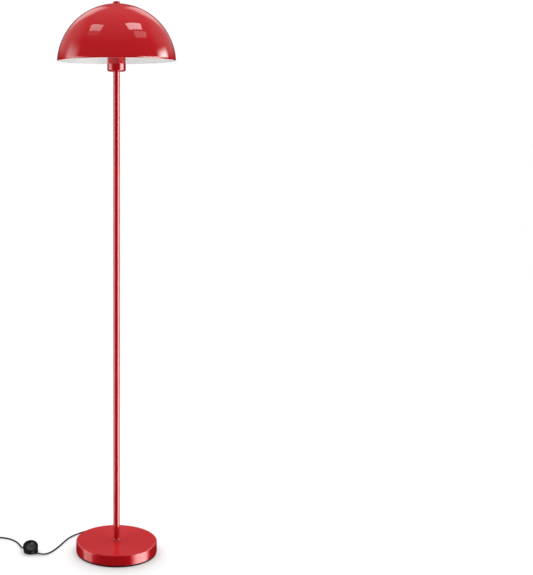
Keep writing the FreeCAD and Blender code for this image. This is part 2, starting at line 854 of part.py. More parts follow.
def make_button():
    e = 0.9
    r, top = button_radius, button_top
    cap = turned([
        (0, button_flange_bottom),
        (button_flange_radius, button_flange_bottom),
        (button_flange_radius, button_flange_top),
        (r, button_flange_top),
        (r, top - e),
        (corner_arc(r - e, top - e, e, 45), (r - e, top)),
        (0, top + 0.25),
    ])
    cap.translate(V(button_x, button_y, 0))
    return leaned(cap)


def make_spring():
    """A compression spring, wound through four places a turn."""
    pitch = (button_flange_bottom - body_gap - frame_top - 2 * spring_wire) / spring_turns
    places = []
    for quarter in range(round(4 * spring_turns) + 1):
        c, s = math.cos(quarter * math.pi / 2), math.sin(quarter * math.pi / 2)
        point = V(button_x + spring_radius * c, button_y + spring_radius * s, pitch * quarter / 4)
        heading = V(-spring_radius * s, spring_radius * c, pitch / (2 * math.pi)).normalize()
        places.append((point, heading))
    coil = swept(wound_path(places, spring_wire), spring_wire)
    coil.translate(V(0, 0, frame_top + spring_wire + body_gap / 2))
    return leaned(coil)


def make_contact_frame():
    """The insulating plate under the button, cut away over the cord's boots."""
    plate = rod(cavity_radius - 2 * fit, frame_level, frame_top)
    for side in (-1, 1):
        x = button_x + side * contact_spread
        plate = plate.cut(rod(contact_radius + fit, frame_level - 1, frame_top + 1, x, button_y))
    plate = leaned(plate)
    for way in cord_way(switch_boot_radius + 1, boot_start - 4, 2 * switch_radius):
        plate = plate.cut(way)
    for side in (-1, 1):
        plate = plate.cut(rod(switch_screw_radius + fit, 0, 2 * switch_face_height, *screw_place(side)))
    return plate


def make_contact(side):
    """A fixed contact riveted in the frame, beside the spring."""
    x = button_x + side * contact_spread
    top = button_flange_bottom - button_travel - body_gap
    post = rod(contact_radius, frame_level - 1.2, top, x, button_y)
    plate = pipe(contact_plate_radius, contact_radius / 2, frame_top, frame_top + contact_plate_thickness, x, button_y)
    return leaned(post.fuse(plate).removeSplitter())


def leaned_point(x, y, z):
    return leaned(Part.Vertex(V(x, y, z))).Point


def make_switch_lead(side, turn):
    """A wire from the end of a boot to the foot of its contact."""
    x = button_x + side * contact_spread
    foot = leaned_point(x, button_y, frame_level - 1.2)
    below = leaned_point(x, button_y, frame_level - 4.2)
    points = [at_switch(turn, boot_start), at_switch(turn, boot_start - 3), tuple(below), tuple(foot)]
    return cord_along(points, f"lead to contact {side}", radius=switch_lead_radius)


save("switch_lid", make_switch_lid())
save("switch_body", make_switch_body())
save("switch_button", make_button())
save("switch_spring", make_spring())
save("switch_contacts", make_contact(-1), make_contact(1))
save("switch_frame", make_contact_frame())
save("switch_screws", make_switch_screw(-1), make_switch_screw(1))
save("switch_boots", *cord_way(switch_boot_radius, boot_start, boot_end))
save("switch_leads", make_switch_lead(-1, switch_axis), make_switch_lead(1, switch_axis + 180))


# ---- cord ------------------------------------------------------------------------------------------------------
coil_layers = len(coil_quarters)
coil_outer_radius = coil_inner_radius + coil_turn_pitch * coil_quarters[0] / 4
coil_floor = cord_radius + coil_lift
coil_entry = (coil_x + cord_diameter, coil_y + coil_outer_radius, coil_floor)

to_switch = [
    (0, outlet_tip, outlet_height),
    (0, outlet_tip + 12, outlet_height),
    (-5.5, outlet_tip + 24, 6.6),
    (-19, 157, 2.8),
    (-38, 155, cord_floor),
    (-57, 147, cord_floor),
    (-75, 135, cord_floor),
    (-91.5, 121.5, cord_floor),
    (-106.5, 107, cord_floor),
    (-120, 90.5, cord_floor),
    (-130, 73, cord_floor),
    (-137.5, 53.5, cord_floor),
    (-144.5, 34.5, cord_floor),
    (-151.5, 17.5, cord_floor),
    (-158.5, 3, cord_floor),
    (-165.5, -10, 2.0),
    (-174, -22, 2.8),
    (-184.5, -29, 3.8),
    at_switch(switch_axis + 180, boot_end + 9),
    at_switch(switch_axis + 180, boot_end),
]
from_switch = [
    at_switch(switch_axis, boot_end),
    at_switch(switch_axis, boot_end + 8),
    (-245.5, 22, 3.0),
    (-250.5, 38, cord_floor),
    (-258, 53, cord_floor),
    (-268, 66.5, cord_floor),
    (-281, 77.5, cord_floor),
    (-297, 84, 2.1),
    (coil_entry[0] + 17, coil_entry[1], coil_floor),
    coil_entry,
]
save("cord_to_switch", cord_along(to_switch, "cord to the switch"))
save("cord_from_switch", cord_along(from_switch, "cord from the switch"))


# The rest of the cord is wound into a neat coil of four layers: it spirals in, climbs a layer in half a
# turn, spirals out, and so on, counter-clockwise seen from above.
def coil_knots():
    """(angle, radius, height, drift, rise) at each quarter turn; drift and rise are per radian."""
    quarter = math.pi / 2
    steps = []
    for layer, quarters in enumerate(coil_quarters):
        way = -1 if layer % 2 == 0 else 1
        steps += [(way * coil_turn_pitch / 4, 0.0)] * quarters
        if layer < coil_layers - 1:
            steps += [(0.0, coil_layer_pitch / 2)] * 2
    angle, radius, height = math.pi / 2, coil_outer_radius, coil_floor
    knots = [(angle, radius, height, 0.0, 0.0)]
    for index, (widen, climb) in enumerate(steps):
        angle, radius, height = angle + quarter, radius + widen, height + climb
        if index + 1 < len(steps):
            after = steps[index + 1]
            drift, rise = (widen + after[0]) / 2 / quarter, (climb + after[1]) / 2 / quarter
        else:
            drift, rise = 0.0, 0.0
        knots.append((angle, radius, height, drift, rise))
    return knots


def knot_place(knot):
    angle, radius, height, drift, rise = knot
    c, s = math.cos(angle), math.sin(angle)
    point = V(coil_x + radius * c, coil_y + radius * s, height)
    heading = V(drift * c - radius * s, drift * s + radius * c, rise).normalize()
    return point, heading


def least_gap(wire):
    """Nearest that the coil's axis comes to itself on another turn, less the cord's diameter."""
    points = wire.discretize(Distance=1.2)
    skip = int(0.75 * 2 * math.pi * coil_inner_radius / 1.2)
    nearest = min(
        (p.x - q.x) ** 2 + (p.y - q.y) ** 2 + (p.z - q.z) ** 2
        for i, p in enumerate(points)
        for q in points[i + skip:]
    )
    return math.sqrt(nearest) - cord_diameter


coil_places = [knot_place(k) for k in coil_knots()]
coil_wire = wound_path(coil_places, cord_diameter)
coil_last, coil_heading = coil_places[-1]
coil_end = coil_last + coil_heading * cord_diameter
coil = swept(coil_wire, cord_radius)
coil_turns = (len(coil_knots()) - 1) / 4
coil_share = coil.Volume / (math.pi * cord_radius ** 2 * coil_wire.Length)
print(f"coil: length {coil_wire.Length:.1f}, turns {coil_turns:.2f}, least gap {least_gap(coil_wire):.2f}")
print(f"coil: volume over section times length {coil_share:.4f}")
save("cord_coil", coil)

plug_x = coil_end.x + 2.5
plug_y = coil_end.y - 56.0     # cord end of the plug's tail
plug_z = plug_thickness / 2
to_plug = [
    (coil_end.x, coil_end.y, coil_end.z),
    (coil_end.x, coil_end.y - 13, coil_end.z),
    (coil_end.x + 0.8, coil_end.y - 27, coil_end.z - 3.6),
    (plug_x, coil_end.y - 42, plug_z),
    (plug_x, plug_y, plug_z),
]
save("cord_to_plug", cord_along(to_plug, "cord to the plug"))


def make_tie():
    """A strap round the coil's section, standing on the floor."""
    slack = 0.4
    inner = math.sqrt((coil_inner_radius - cord_radius) ** 2 - (tie_width / 2) ** 2) - slack
    outer = coil_outer_radius + cord_radius + slack
    top = coil_floor + (coil_layers - 1) * coil_layer_pitch + cord_radius + slack
    bottom = tie_thickness
    wide, tall = outer - inner, top - bottom
    hollow = rounded_box(wide, tall, 1.4, 0)
    skin = rounded_box(wide + 2 * tie_thickness, tall + 2 * tie_thickness, 1.4 + tie_thickness, 0)
    strap = Part.Face(skin).extrude(V(0, tie_width, 0)).cut(Part.Face(hollow).extrude(V(0, tie_width, 0)))
    strap.translate(V((inner + outer) / 2, -tie_width / 2, (top + bottom) / 2 + 0.05))
    strap.rotate(V(0, 0, 0), V(0, 0, 1), tie_azimuth)
    strap.translate(V(coil_x, coil_y, 0))
    return strap


save("cord_tie", make_tie())


# ---- plug (flat two-pin) ----------------------------------------------------------------------------------------
def make_plug_body():
    sections = [
        (0.0, 2 * plug_tail_radius + 6, 2 * plug_tail_radius + 3, 3.2),
        (0.28 * plug_length, 0.62 * plug_width, 0.85 * plug_thickness, 4.4),
        (0.66 * plug_length, 0.95 * plug_width, plug_thickness, 5.2),
        (plug_length, plug_width, plug_thickness, 5.2),
    ]
    wires = [rounded_box(wide, tall, radius, -run) for run, wide, tall, radius in sections]
    grip = Part.makeLoft(wires, True, True)
    tail = turned([(cord_radius, 0), (plug_tail_radius, 0), (cord_radius + 0.7, plug_tail_length),
                   (cord_radius, plug_tail_length)])
    tail.rotate(V(0, 0, 0), V(1, 0, 0), -90)
    body = grip.fuse(tail).removeSplitter()
    for side in (-1, 1):
        start = V(side * pin_spacing / 2, pin_root_length - plug_length, 0)
        hole = Part.makeCylinder(pin_root_radius, pin_root_length, start, V(0, -1, 0))
        body = body.cut(hole)
    body.translate(V(plug_x, plug_y - plug_tail_length, plug_z))
    return body


def make_pin(side):
    root, whole = pin_root_length, pin_root_length + pin_length
    pin = turned([
        (0, 0), (pin_root_radius, 0), (pin_root_radius, root), (pin_radius, root), (pin_radius, whole - pin_tip),
        (pin_radius - pin_tip, whole), (0, whole),
    ])
    pin.rotate(V(0, 0, 0), V(1, 0, 0), 90)
    start = plug_y - plug_tail_length - plug_length + root
    pin.translate(V(plug_x + side * pin_spacing / 2, start, plug_z))
    return pin


print(f"plug pins: middle x {plug_x:.3f}, face y {plug_y - plug_tail_length - plug_length:.3f}, z {plug_z:.3f}")
save("plug_body", make_plug_body())
save("plug_pins", make_pin(-1), make_pin(1))
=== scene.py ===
"""A red mushroom floor lamp with its cord and foot switch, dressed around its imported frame.

Metres, +Z up, the front is -Y. The floor is at height 0, and the pole stands on the Z axis.
"""
import json
import math

import bmesh
import bpy
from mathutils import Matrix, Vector


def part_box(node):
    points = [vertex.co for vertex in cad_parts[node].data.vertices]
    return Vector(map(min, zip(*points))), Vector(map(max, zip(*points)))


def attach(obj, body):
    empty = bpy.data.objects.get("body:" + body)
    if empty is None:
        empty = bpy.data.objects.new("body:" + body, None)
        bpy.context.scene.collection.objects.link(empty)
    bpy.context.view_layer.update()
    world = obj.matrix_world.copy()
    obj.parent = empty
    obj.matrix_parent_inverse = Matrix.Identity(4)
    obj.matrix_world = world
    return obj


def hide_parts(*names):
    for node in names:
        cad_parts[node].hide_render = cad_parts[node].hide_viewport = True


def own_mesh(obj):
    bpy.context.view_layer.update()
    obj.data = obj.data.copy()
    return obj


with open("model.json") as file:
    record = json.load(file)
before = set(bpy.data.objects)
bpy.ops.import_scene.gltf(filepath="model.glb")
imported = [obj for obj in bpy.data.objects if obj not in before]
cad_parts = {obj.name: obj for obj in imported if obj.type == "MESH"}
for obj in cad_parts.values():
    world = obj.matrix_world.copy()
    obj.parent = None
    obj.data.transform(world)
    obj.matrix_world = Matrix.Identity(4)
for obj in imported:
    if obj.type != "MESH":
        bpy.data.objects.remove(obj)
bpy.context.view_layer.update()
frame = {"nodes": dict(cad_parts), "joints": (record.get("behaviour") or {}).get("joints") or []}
scene = bpy.context.scene
cad = frame["nodes"]

# ---- Camera ----------------------------------------------------------------------------------------
# A long lens 2.6 m in front of the lamp, a little below the shade and tilted 7 degrees down. The lamp
# stands left of the middle, so the lens is shifted sideways and the camera keeps looking along +Y.
photo_width, photo_height = 533, 575
camera_focus = 1066.0          # focal length in pixels of the photograph
camera_axis_x, camera_axis_y = 116.53, 255.7
camera_data = bpy.data.cameras.new("camera")
camera_data.sensor_width = 36
camera_data.lens = camera_focus * camera_data.sensor_width / photo_height
camera_data.shift_x = (photo_width / 2 - camera_axis_x) / photo_height
camera_data.shift_y = (camera_axis_y - photo_height / 2) / photo_height
camera_data.clip_start = 0.05
camera_data.clip_end = 200
camera = bpy.data.objects.new("camera", camera_data)
camera.location = (0, -2.603, 1.0775)
camera.rotation_euler = (math.radians(83), 0, 0)
scene.collection.objects.link(camera)
scene.camera = camera


# ---- Cords -----------------------------------------------------------------------------------------
# A black PVC mains cord, 3.6 mm thick, round and smooth from the extruder. One stretch runs from the back
# of the foot to the switch, and the other from the switch to the plug; it lies loose on the floor.
cord_diameter = 0.0036

# Slow changes of tone, as every real surface has, and a matching change of roughness.
tone = bpy.data.node_groups.new("tone_drift", "ShaderNodeTree")
for label, kind in (("Colour", "NodeSocketColor"), ("Roughness", "NodeSocketFloat"),
                    ("Spread", "NodeSocketFloat"), ("Size", "NodeSocketFloat")):
    tone.interface.new_socket(label, in_out="INPUT", socket_type=kind)
tone.interface.new_socket("Colour", in_out="OUTPUT", socket_type="NodeSocketColor")
tone.interface.new_socket("Roughness", in_out="OUTPUT", socket_type="NodeSocketFloat")


def add_node(tree, kind, **settings):
    """A node of that kind. Settings that are sockets are given by name, with _ for a space."""
    node = tree.nodes.new("ShaderNode" + kind)
    for name, value in settings.items():
        if hasattr(node, name):
            setattr(node, name, value)
        else:
            node.inputs[name.replace("_", " ")].default_value = value
    return node


def join(tree, source, output, target, socket):
    tree.links.new(source.outputs[output], target.inputs[socket])


given = tone.nodes.new("NodeGroupInput")
result = tone.nodes.new("NodeGroupOutput")
place = add_node(tone, "TexCoord")
cloud = add_node(tone, "TexNoise", Detail=3.0, Roughness=0.6)
signed = add_node(tone, "MapRange", From_Min=0.3, From_Max=0.7, To_Min=-1.0, To_Max=1.0)
scaled = add_node(tone, "Math", operation="MULTIPLY")
factor = add_node(tone, "Math", operation="ADD")
factor.inputs[1].default_value = 1.0
dyed = add_node(tone, "VectorMath", operation="SCALE")
rougher = add_node(tone, "Math", operation="MULTIPLY")
join(tone, place, "Object", cloud, "Vector")
join(tone, given, "Size", cloud, "Scale")
join(tone, cloud, 0, signed, "Value")
join(tone, signed, 0, scaled, 0)
join(tone, given, "Spread", scaled, 1)
join(tone, scaled, 0, factor, 0)
join(tone, given, "Colour", dyed, 0)
join(tone, factor, 0, dyed, "Scale")
join(tone, given, "Roughness", rougher, 0)
join(tone, factor, 0, rougher, 1)
join(tone, dyed, 0, result, "Colour")
join(tone, rougher, 0, result, "Roughness")

# A fine pebbled grain, from moulds, castings and powder paint: a height for a bump.
grain = bpy.data.node_groups.new("fine_grain", "ShaderNodeTree")
grain.interface.new_socket("Size", in_out="INPUT", socket_type="NodeSocketFloat")
grain.interface.new_socket("Coarse", in_out="INPUT", socket_type="NodeSocketFloat")
grain.interface.new_socket("Height", in_out="OUTPUT", socket_type="NodeSocketFloat")
given = grain.nodes.new("NodeGroupInput")
result = grain.nodes.new("NodeGroupOutput")
place = add_node(grain, "TexCoord")
fine = add_node(grain, "TexNoise", Detail=2.0, Roughness=0.5)
coarse_size = add_node(grain, "Math", operation="MULTIPLY")
coarse_size.inputs[1].default_value = 0.17
coarse = add_node(grain, "TexNoise", Detail=1.0)
weighed = add_node(grain, "Math", operation="MULTIPLY")
both = add_node(grain, "Math", operation="ADD")
join(grain, place, "Object", fine, "Vector")
join(grain, place, "Object", coarse, "Vector")
join(grain, given, "Size", fine, "Scale")
join(grain, given, "Size", coarse_size, 0)
join(grain, coarse_size, 0, coarse, "Scale")
join(grain, coarse, 0, weighed, 0)
join(grain, given, "Coarse", weighed, 1)
join(grain, fine, 0, both, 0)
join(grain, weighed, 0, both, 1)
join(grain, both, 0, result, "Height")

# Pale dust that settles on what faces up, in patches.
dust = bpy.data.node_groups.new("settled_dust", "ShaderNodeTree")
dust.interface.new_socket("Colour", in_out="INPUT", socket_type="NodeSocketColor")
dust.interface.new_socket("Amount", in_out="INPUT", socket_type="NodeSocketFloat")
dust.interface.new_socket("Colour", in_out="OUTPUT", socket_type="NodeSocketColor")
given = dust.nodes.new("NodeGroupInput")
result = dust.nodes.new("NodeGroupOutput")
place = add_node(dust, "TexCoord")
shape = add_node(dust, "NewGeometry")
upward = add_node(dust, "SeparateXYZ")
lies = add_node(dust, "MapRange", From_Min=0.35, From_Max=1.0)
patches = add_node(dust, "TexNoise", Scale=60.0, Detail=5.0, Roughness=0.7)
spots = add_node(dust, "MapRange", From_Min=0.42, From_Max=0.72)
where = add_node(dust, "Math", operation="MULTIPLY")
much = add_node(dust, "Math", operation="MULTIPLY")
powder = add_node(dust, "Mix", data_type="RGBA")
powder.inputs["B"].default_value = (0.46, 0.43, 0.4, 1)
join(dust, shape, "Normal", upward, 0)
join(dust, upward, "Z", lies, "Value")
join(dust, place, "Object", patches, "Vector")
join(dust, patches, 0, spots, "Value")
join(dust, lies, 0, where, 0)
join(dust, spots, 0, where, 1)
join(dust, where, 0, much, 0)
join(dust, given, "Amount", much, 1)
join(dust, much, 0, powder, "Factor")
join(dust, given, "Colour", powder, "A")
join(dust, powder, "Result", result, "Colour")


def group_node(tree, group, **values):
    node = tree.nodes.new("ShaderNodeGroup")
    node.node_tree = group
    for name, value in values.items():
        node.inputs[name].default_value = value
    return node


def finish_named(name, colour, roughness, spread=0.05, patch=40.0, grain_size=900.0, grain_depth=0.02,
                 coarse=0.3, dusty=0.0, **sockets):
    """A material: toned colour and roughness, a fine grain, and a little dust."""
    made = bpy.data.materials.new(name)
    made.use_nodes = True
    tree = made.node_tree
    shader = tree.nodes["Principled BSDF"]
    for label, value in sockets.items():
        shader.inputs[label.replace("_", " ")].default_value = value
    toned = group_node(tree, tone, Colour=(*colour, 1), Roughness=roughness, Spread=spread, Size=patch)
    pebbled = group_node(tree, grain, Size=grain_size, Coarse=coarse)
    bump = add_node(tree, "Bump", Strength=1.0, Distance=grain_depth / 1000)
    settled = group_node(tree, dust, Amount=dusty)
    join(tree, toned, "Colour", settled, "Colour")
    join(tree, settled, "Colour", shader, "Base Color")
    join(tree, toned, "Roughness", shader, "Roughness")
    join(tree, pebbled, "Height", bump, "Height")
    join(tree, bump, "Normal", shader, "Normal")
    return made


cord_jacket = finish_named("cord_jacket", (0.0025, 0.0025, 0.0027), 0.45, spread=0.12, patch=55,
                           grain_size=1400, grain_depth=0.02, dusty=0.01, Specular_IOR_Level=0.12)


def laid_cord(name, points):
    """A smooth open spline with the route's points as its control points."""
    line = bpy.data.curves.new(name, "CURVE")
    line.dimensions = "3D"
    line.bevel_depth = cord_diameter / 2
    line.bevel_resolution = 5
    line.resolution_u = 10
    line.use_fill_caps = True
    run = line.splines.new("NURBS")
    run.points.add(len(points) - 1)
    for knot, (x, y, z) in zip(run.points, points):
        knot.co = (x, y, z, 1)
    run.order_u = 3
    run.use_endpoint_u = True
    line.materials.append(cord_jacket)
    cord = bpy.data.objects.new(name, line)
    scene.collection.objects.link(cord)
    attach(cord, "lamp")
    return cord


first_route = [
    (0, 0.1265, 0.011), (0, 0.1385, 0.011), (-0.0055, 0.1505, 0.0066), (-0.019, 0.157, 0.0028),
    (-0.038, 0.155, 0.0018), (-0.057, 0.147, 0.0018), (-0.075, 0.135, 0.0018), (-0.0915, 0.1215, 0.0018),
    (-0.1065, 0.107, 0.0018), (-0.120, 0.0905, 0.0018), (-0.130, 0.073, 0.0018), (-0.1375, 0.0535, 0.0018),
    (-0.1445, 0.0345, 0.0018), (-0.1515, 0.0175, 0.0018), (-0.1585, 0.003, 0.0018),
    (-0.1655, -0.010, 0.0020), (-0.174, -0.022, 0.0028), (-0.1845, -0.029, 0.0038),
    (-0.19498, -0.02832, 0.0046), (-0.20187, -0.02253, 0.0046),
]
cord_to_switch = laid_cord("foot_cord", first_route)
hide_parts("cord_to_switch")

# The length that isn't used is wound into a neat coil of four layers, held by a tie. It lies left of the
# switch and behind it.
coil_middle = Vector((-0.343, 0.0604))
coil_outer, coil_turn_pitch, coil_layer_pitch, coil_floor = 0.025075, 0.0047, 0.0042, 0.00275
coil_quarters = (9, 9, 9, 8)
points_a_quarter = 6
bulge = 1 / math.cos(math.pi / 4 / points_a_quarter) ** 2   # a spline cuts inside its control points
second_route = [
    (-0.23413, 0.00453, 0.0046), (-0.24025, 0.00967, 0.0046), (-0.2455, 0.022, 0.0030),
    (-0.2505, 0.038, 0.0018), (-0.258, 0.053, 0.0018), (-0.268, 0.0665, 0.0018), (-0.281, 0.0775, 0.0018),
    (-0.297, 0.084, 0.0021), (-0.3224, 0.085475, 0.00275), (-0.3394, 0.085475, 0.00275),
]
coil_steps = []
for layer, quarters in enumerate(coil_quarters):
    inward = -1 if layer % 2 == 0 else 1
    coil_steps += [(inward * coil_turn_pitch / 4, 0)] * quarters
    if layer < len(coil_quarters) - 1:
        coil_steps += [(0, coil_layer_pitch / 2)] * 2
angle, radius, height = math.pi / 2, coil_outer, coil_floor
for widen, climb in coil_steps:
    for part in range(points_a_quarter):
        share = part / points_a_quarter
        at = angle + share * math.pi / 2
        wide = (radius + share * widen) * bulge
        second_route.append((coil_middle.x + wide * math.cos(at), coil_middle.y + wide * math.sin(at),
                             height + share * climb))
    angle, radius, height = angle + math.pi / 2, radius + widen, height + climb
second_route += [
    (coil_middle.x + radius * math.cos(angle), coil_middle.y + radius * math.sin(angle), height),
    (-0.3669, 0.0438, 0.01535), (-0.3661, 0.0298, 0.01175), (-0.3644, 0.0148, 0.0068),
    (-0.3644, 0.0008, 0.0068),
]
cord_to_plug = laid_cord("plug_cord", second_route)
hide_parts("cord_from_switch", "cord_coil", "cord_to_plug")


# ---- Foot ------------------------------------------------------------------------------------------
# A spun steel cover with a rolled top edge hides a cast weight, which stands on a ring of black rubber.
# The cover is turned on a lathe before painting, and the lathe's fine rings still show through the gloss.
def rounded_outline(corners, steps):
    """Points of a closed outline. A corner is (radius, height, fillet).

    On a long side a point is added close beside the fillet, whose shading then doesn't spread over the flat.
    """
    beside, long_side = 0.0006, 0.01
    points = []
    for index, (r, z, fillet) in enumerate(corners):
        here = Vector((r, z))
        if not fillet:
            points.append(here)
            continue
        to_previous = Vector(corners[index - 1][:2]) - here
        to_next = Vector(corners[(index + 1) % len(corners)][:2]) - here
        a, b = to_previous.normalized(), to_next.normalized()
        half = a.angle(b) / 2
        middle = here + (a + b).normalized() * (fillet / math.sin(half))
        start = a * (fillet / math.tan(half)) + here - middle
        end = b * (fillet / math.tan(half)) + here - middle
        first = math.atan2(start.y, start.x)
        turn = (math.atan2(end.y, end.x) - first + math.pi) % (2 * math.pi) - math.pi
        if to_previous.length > long_side:
            points.append(middle + start + a * beside)
        for step in range(steps + 1):
            at = first + turn * step / steps
            points.append(middle + Vector((math.cos(at), math.sin(at))) * fillet)
        if to_next.length > long_side:
            points.append(middle + end + b * beside)
    return points


def piece_from(name, mesh, *finishes, body="lamp", crease=35):
    """Makes a mesh into a piece that rides on a body, smooth but for creases."""
    bmesh.ops.recalc_face_normals(mesh, faces=mesh.faces)
    data = bpy.data.meshes.new(name)
    mesh.to_mesh(data)
    mesh.free()
    for each in finishes:
        data.materials.append(each)
    for face in data.polygons:
        face.use_smooth = True
    data.set_sharp_from_angle(angle=math.radians(crease))
    piece = bpy.data.objects.new(name, data)
    scene.collection.objects.link(piece)
    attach(piece, body)
    return piece


def turned_mesh(outline, segments):
    """Turns a closed outline (radius, height) about Z. Points on the axis are shared."""
    mesh = bmesh.new()
    rings = []
    for r, z in outline:
        if r < 1e-6:
            rings.append([mesh.verts.new((0, 0, z))] * segments)
            continue
        ring = []
        for k in range(segments):
            at = 2 * math.pi * k / segments
            ring.append(mesh.verts.new((r * math.cos(at), r * math.sin(at), z)))
        rings.append(ring)
    for a, b in zip(rings, rings[1:] + rings[:1]):
        for k in range(segments):
            after = (k + 1) % segments
            loop = list(dict.fromkeys((a[k], a[after], b[after], b[k])))
            if len(loop) > 2:
                mesh.faces.new(loop)
    return mesh


def turned(name, corners, finish, steps, segments, body="lamp"):
    mesh = turned_mesh(rounded_outline(corners, steps), segments)
    return piece_from(name, mesh, finish, body=body)


red = (0.51, 0.0085, 0.0125)
lacquer = finish_named("red_lacquer", red, 0.5, spread=0.025, patch=9, grain_size=420, grain_depth=0.004,
                       coarse=0.2, dusty=0.004, Specular_IOR_Level=0.0, Coat_Weight=1.0,
                       Coat_Roughness=0.03, Coat_IOR=1.5)
# The upright parts have a little metal flake under the clear coat: deeper in front, glowing at the sides.
# Their red is darker than the dome's, a painted shade, as the same paint looks deeper on them.
shaded_red = (0.46, 0.0075, 0.0110)
shaded_tube_lacquer = finish_named("shaded_tube_lacquer", shaded_red, 0.34, spread=0.025, patch=9, grain_size=420,
                            grain_depth=0.003, coarse=0.2, dusty=0.004, Metallic=0.18,
                            Specular_IOR_Level=0.0, Coat_Weight=1.0, Coat_Roughness=0.02, Coat_IOR=1.5)


def spun_lacquer():
    """Red lacquer over lathe-turned steel: fine rings that stretch the highlights, under a clear coat."""
    made = finish_named("spun_lacquer", (0.55, 0.009, 0.0135), 0.35, spread=0.03, patch=12, dusty=0.006,
                        Metallic=0.3, Anisotropic=0.8, Specular_IOR_Level=0.0, Coat_Weight=1.0,
                        Coat_Roughness=0.02, Coat_IOR=1.5)
    tree = made.node_tree
    shader = tree.nodes["Principled BSDF"]
    place = add_node(tree, "TexCoord")
    rings = add_node(tree, "TexWave", wave_type="RINGS", rings_direction="Z", Scale=420.0, Distortion=1.2,
                     Detail=2.0, Detail_Scale=3.0)
    cut = add_node(tree, "Bump", Strength=0.5, Distance=0.00006)
    join(tree, place, "Object", rings, "Vector")
    join(tree, rings, "Fac", cut, "Height")
    join(tree, cut, "Normal", shader, "Normal")
    along_rings = add_node(tree, "Tangent", direction_type="RADIAL", axis="Z")
    join(tree, along_rings, "Tangent", shader, "Tangent")
    return made


foot_lacquer = spun_lacquer()
cover_low, cover_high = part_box("base_cover")
foot_radius, foot_top, cover_wall = cover_high.x, cover_high.z, 0.0012
hole = 0.0052
cover_mesh = turned_mesh(rounded_outline([
    (hole, foot_top, 0.0003),
    (foot_radius, foot_top, 0.003),
    (foot_radius, cover_low.z, 0.0004),
    (foot_radius - cover_wall, cover_low.z, 0.0004),
    (foot_radius - cover_wall, foot_top - cover_wall, 0.0018),
    (hole, foot_top - cover_wall, 0.0003),
], 8), 256)
turned_depth = 0.0012          # how far down the rolled edge the turned finish goes
# Below the rolled edge the cover's side takes the upright parts' darker red, a painted shade.
for face in cover_mesh.faces:
    face.material_index = 0 if face.calc_center_median().z > foot_top - turned_depth else 1
cover = piece_from("foot_cover", cover_mesh, foot_lacquer, shaded_tube_lacquer)
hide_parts("base_cover")


def dress(finish, *names):
    """Gives CAD nodes a finish."""
    for name in names:
        for slot in cad[name].material_slots:
            slot.material = finish


foam_rubber = finish_named("foam_rubber", (0.003, 0.003, 0.0032), 0.9, spread=0.15, patch=60,
                           grain_size=700, grain_depth=0.12, coarse=0.8, Specular_IOR_Level=0.1)
cast_iron = finish_named("cast_iron", (0.11, 0.11, 0.115), 0.72, spread=0.2, patch=35, grain_size=500,
                         grain_depth=0.2, coarse=1.0, Metallic=0.6)
zinc = finish_named("zinc_plate", (0.6, 0.6, 0.57), 0.32, spread=0.1, patch=70, grain_size=1600,
                    grain_depth=0.02, Metallic=1.0)
dress(foam_rubber, "base_pad")
dress(cast_iron, "base_weight")
dress(zinc, "base_nipple", "base_washer", "base_nut")

# The cord leaves the back of the foot through a tapered rubber sleeve, which a flange holds inside the wall.
soft_rubber = finish_named("soft_rubber", (0.017, 0.017, 0.018), 0.6, spread=0.12, patch=80,
                           grain_size=1100, grain_depth=0.05, dusty=0.08)
dress(soft_rubber, "cord_grommet")
dress(cord_jacket, "inner_cable")


# ---- Pole ------------------------------------------------------------------------------------------
# Three lengths of steel tube, 16 mm across, joined on couplers inside, so that the two seams hardly show.
# A small flared ring hides where the pole meets the foot.
tube_wall = 0.0012
# The tubes and the collar take the upright parts' darker red, a painted shade.
for name in ("pole_lower", "pole_middle", "pole_upper"):
    low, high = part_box(name)
    tube = turned(name + "_tube", [
        (high.x, low.z, 0.00012),
        (high.x, high.z, 0.00012),
        (high.x - tube_wall, high.z, 0),
        (high.x - tube_wall, low.z, 0),
    ], shaded_tube_lacquer, steps=2, segments=96)
    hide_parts(name)
dress(zinc, "pole_coupler_lower", "pole_coupler_upper", "pole_foot_plug", "pole_head_plug")
dress(shaded_tube_lacquer, "pole_collar")


# ---- Socket cup and lampholder ---------------------------------------------------------------------
# A deep-drawn steel cup, lacquered in the pole's darker red of painted shade, holds a white thermoplastic
# lampholder.
# Two screwed rings on the lampholder clamp the strap that carries the shade.
cup_low, cup_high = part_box("socket_cup")
cup_wall = 0.0012
cup = turned("lamp_cup", [
    (hole, cup_low.z, 0),
    (cup_high.x, cup_low.z, 0.004),
    (cup_high.x, cup_high.z, 0.0005),
    (cup_high.x - cup_wall, cup_high.z, 0.0005),
    (cup_high.x - cup_wall, cup_low.z + cup_wall, 0.0028),
    (hole, cup_low.z + cup_wall, 0),
], shaded_tube_lacquer, steps=8, segments=160)
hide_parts("socket_cup")

holder_white = finish_named("holder_white", (0.78, 0.78, 0.75), 0.42, spread=0.03, patch=45,
                            grain_size=1200, grain_depth=0.03, dusty=0.04)
nickel = finish_named("nickel_plate", (0.68, 0.66, 0.62), 0.18, spread=0.12, patch=90, grain_size=1500,
                      grain_depth=0.01, Metallic=1.0)
brass = finish_named("brass", (0.72, 0.5, 0.2), 0.28, spread=0.12, patch=90, grain_size=1500,
                     grain_depth=0.02, Metallic=1.0)
lead_blue = finish_named("lead_blue", (0.05, 0.16, 0.42), 0.4, spread=0.08, patch=60, grain_size=1200,
                         grain_depth=0.02)
dress(holder_white, "lampholder_cap", "lampholder_shell", "lampholder_core", "lampholder_ring_lower",
      "lampholder_ring_upper")
dress(nickel, "lampholder_thread")
dress(brass, "centre_contact", "lampholder_terminals")
dress(lead_blue, "lampholder_leads")
dress(zinc, "cup_nut", "head_nipple")


